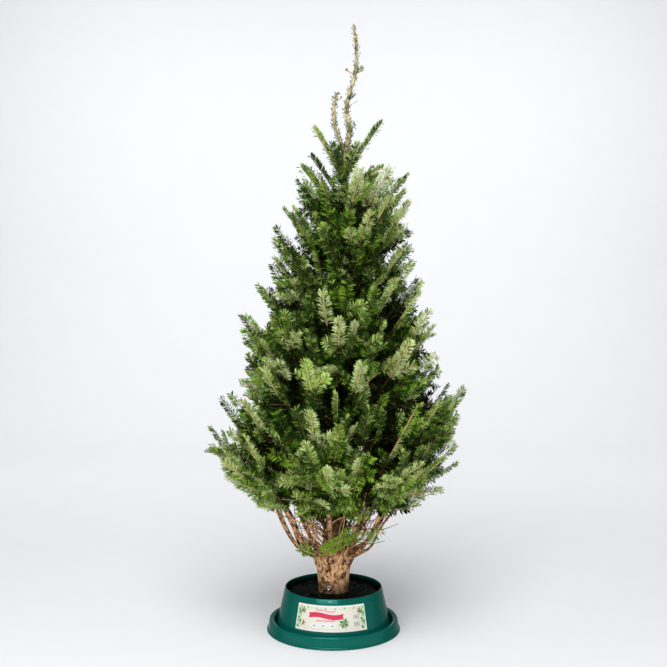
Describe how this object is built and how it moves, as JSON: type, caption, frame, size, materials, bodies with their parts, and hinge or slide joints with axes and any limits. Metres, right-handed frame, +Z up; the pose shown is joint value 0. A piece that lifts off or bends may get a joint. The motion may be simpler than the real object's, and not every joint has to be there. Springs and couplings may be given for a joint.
{
  "type": "christmas tree in stand",
  "caption": "Cut fir tree with a full narrow crown, bare arching limbs at its foot and a crooked leader, standing in a round green plastic tree stand.",
  "frame": {"origin": "centre of the stand's flat underside", "axes": "+Z up along the trunk, +X to the tree's right-hand side, -Y to its front, where the stand's label is"},
  "size_m": [0.8768, 0.8244, 1.9972],
  "materials": {
    "green_plastic": "satin",
    "well_filling": "rough",
    "label_card": "matt",
    "bolt_steel": "satin",
    "bark": "rough",
    "foliage": "matt"
  },
  "bodies": {
    "root": {"stand_ring": "green_plastic", "stand_pot": "green_plastic", "stand_fill": "well_filling", "stand_label": "label_card", "clamp_bolt": "bolt_steel", "trunk": "bark", "limb_1": "bark", "limb_2": "bark", "limb_3": "bark", "limb_4": "bark", "limb_5": "bark", "limb_6": "bark", "limb_7": "bark", "limb_8": "bark", "base_mass_1": "foliage", "base_mass_2": "foliage", "base_mass_3": "foliage", "base_mass_4": "foliage", "base_mass_5": "foliage", "base_mass_6": "foliage", "base_mass_7": "foliage", "base_mass_8": "foliage", "tier_1_mass_1": "foliage", "tier_1_mass_2": "foliage", "tier_1_mass_3": "foliage", "tier_1_mass_4": "foliage", "tier_1_mass_5": "foliage", "tier_1_mass_6": "foliage", "tier_2_mass_1": "foliage", "tier_2_mass_2": "foliage", "tier_2_mass_3": "foliage", "tier_2_mass_4": "foliage", "tier_2_mass_5": "foliage", "tier_3_mass_1": "foliage", "tier_3_mass_2": "foliage", "tier_3_mass_3": "foliage", "tier_3_mass_4": "foliage", "tier_3_mass_5": "foliage", "tier_4_mass_1": "foliage", "tier_4_mass_2": "foliage", "tier_4_mass_3": "foliage", "tier_4_mass_4": "foliage", "tier_5_mass_1": "foliage", "tier_5_mass_2": "foliage", "tier_5_mass_3": "foliage", "tier_5_mass_4": "foliage", "tier_6_mass_1": "foliage", "tier_6_mass_2": "foliage", "tier_6_mass_3": "foliage", "tier_6_mass_4": "foliage", "tier_7_mass_1": "foliage", "tier_7_mass_2": "foliage", "tier_7_mass_3": "foliage", "tier_7_mass_4": "foliage", "top_mass_1": "foliage", "top_mass_2": "foliage", "top_mass_3": "foliage", "top_mass_4": "foliage", "leader_mass": "foliage", "second_leader": "foliage"}
  },
  "joints": []
}
